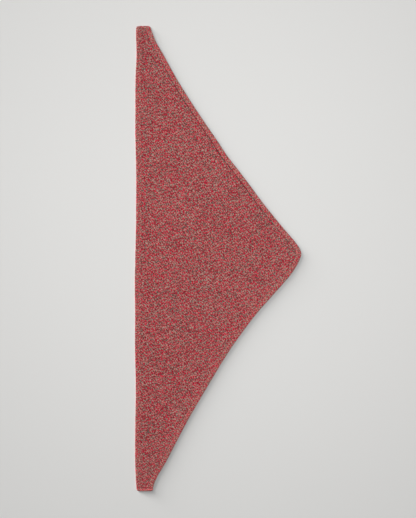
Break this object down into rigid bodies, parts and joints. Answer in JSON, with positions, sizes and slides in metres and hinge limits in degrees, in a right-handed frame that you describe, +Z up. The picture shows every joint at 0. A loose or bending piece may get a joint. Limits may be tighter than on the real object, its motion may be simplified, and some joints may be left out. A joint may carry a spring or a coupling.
{
  "type": "triangle shawl",
  "caption": "Long knitted triangle shawl in a red and taupe marl, laid flat in a single layer, with a straight long edge, blunt ends, a rounded tip and a narrow edge band.",
  "frame": {"origin": "on the surface that the shawl lies on, under the middle of its box", "axes": "+Y along the long edge, towards the upper end; +X across the shawl, from the long edge to the rounded tip; +Z up from the surface"},
  "size_m": [0.7164, 2, 0.0046],
  "materials": {
    "marl_knit": "matt, softly hairy plain knit in a red and taupe marl yarn",
    "edge_knit": "the same marl yarn in the closer stitches of the edge, a little lighter"
  },
  "bodies": {
    "root": {"shawl_body": "marl_knit", "long_edge_band": "edge_knit", "upper_edge_band": "edge_knit", "lower_edge_band": "edge_knit", "upper_end_edge": "edge_knit", "lower_end_edge": "edge_knit"}
  },
  "joints": []
}
